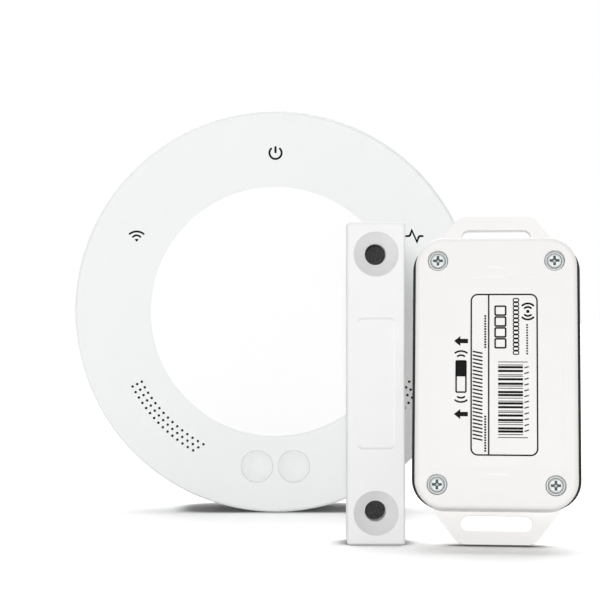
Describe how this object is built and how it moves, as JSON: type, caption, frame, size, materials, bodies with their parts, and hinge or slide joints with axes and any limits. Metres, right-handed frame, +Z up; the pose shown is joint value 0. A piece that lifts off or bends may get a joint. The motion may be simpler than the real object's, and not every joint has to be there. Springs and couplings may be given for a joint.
{
  "type": "gate controller",
  "caption": "Round wall-mounted wireless gate hub with press buttons, a countersunk magnet bar and a gasketed gate sensor box with slotted lugs.",
  "frame": {"origin": "on the surface that the set stands on, under the middle of the set's bounding box", "axes": "+X to the viewer's right along the row of units, +Y away from the viewer into the wall, +Z up"},
  "size_m": [0.1391, 0.1182, 0.12],
  "materials": {
    "ring_plastic": "fine matt moulding",
    "cap_plastic": "satin white moulding",
    "housing_plastic": "fine matt moulding",
    "button_plastic": "fine matt moulding",
    "board_laminate": "solder mask",
    "chip_black": "moulded epoxy",
    "relay_blue": "moulded case",
    "shield_steel": "tinned shield can",
    "terminal_green": "moulded polyamide",
    "screw_steel": "zinc plated",
    "lid_screw_steel": "bright zinc plated",
    "capacitor_sleeve": "shrink sleeve",
    "sounder_black": "moulded case",
    "cloth_black": "acoustic cloth",
    "guide_clear": "clear acrylic",
    "lamp_white": "moulded lamp",
    "aerial_copper": "bare wire",
    "magnet_plastic": "fine matt moulding",
    "magnet_metal": "nickel plated",
    "foam_black": "closed-cell foam tape",
    "sign_ink": "screen-printed ink",
    "sensor_plastic": "fine matt moulding",
    "gasket_black": "moulded rubber",
    "label_white": "printed film",
    "cell_steel": "stainless can",
    "holder_black": "moulded holder",
    "clip_steel": "spring steel",
    "reed_glass": "glass tube"
  },
  "bodies": {
    "hub_and_sensor": {"ring_fascia": "ring_plastic", "centre_cap": "cap_plastic", "rear_housing": "housing_plastic", "case_screws": "screw_steel", "main_board": "board_laminate", "board_screws": "screw_steel", "left_relay": "relay_blue", "middle_relay": "relay_blue", "right_relay": "relay_blue", "wifi_module": "shield_steel", "radio_module": "shield_steel", "processor_chip": "chip_black", "capacitors": "capacitor_sleeve", "sounder": "sounder_black", "radio_aerial": "aerial_copper", "light_guides": "guide_clear", "status_lamps": "lamp_white", "left_switch": "chip_black", "right_switch": "chip_black", "left_grille_cloth": "cloth_black", "right_grille_cloth": "cloth_black", "terminal_block": "terminal_green", "terminal_screws": "screw_steel", "power_socket": "chip_black", "sensor_base": "sensor_plastic", "sensor_lid": "sensor_plastic", "sensor_gasket": "gasket_black", "lid_screws": "lid_screw_steel", "sensor_label": "label_white", "sensor_board": "board_laminate", "sensor_board_screws": "screw_steel", "cell_holder": "holder_black", "coin_cell": "cell_steel", "cell_clip": "clip_steel", "reed_switch": "reed_glass", "sensor_chip": "chip_black", "sensor_aerial": "aerial_copper"},
    "left_button": {"left_button_cap": "button_plastic", "left_plunger": "chip_black"},
    "right_button": {"right_button_cap": "button_plastic", "right_plunger": "chip_black"},
    "magnet_unit": {"magnet_housing": "magnet_plastic", "bar_magnet": "magnet_metal", "magnet_cover": "magnet_plastic", "foam_pad": "foam_black"}
  },
  "joints": [
    {"name": "left_button_press", "type": "slide", "parent": "hub_and_sensor", "child": "left_button", "axis": [0, 1, 0], "range_m": [0, 0.0005], "stiffness_N_per_m": 1500},
    {"name": "right_button_press", "type": "slide", "parent": "hub_and_sensor", "child": "right_button", "axis": [0, 1, 0], "range_m": [0, 0.0005], "stiffness_N_per_m": 1500},
    {"name": "gate_travel", "type": "slide", "parent": "hub_and_sensor", "child": "magnet_unit", "axis": [-1, 0, 0], "range_m": [0, 0.06]}
  ]
}
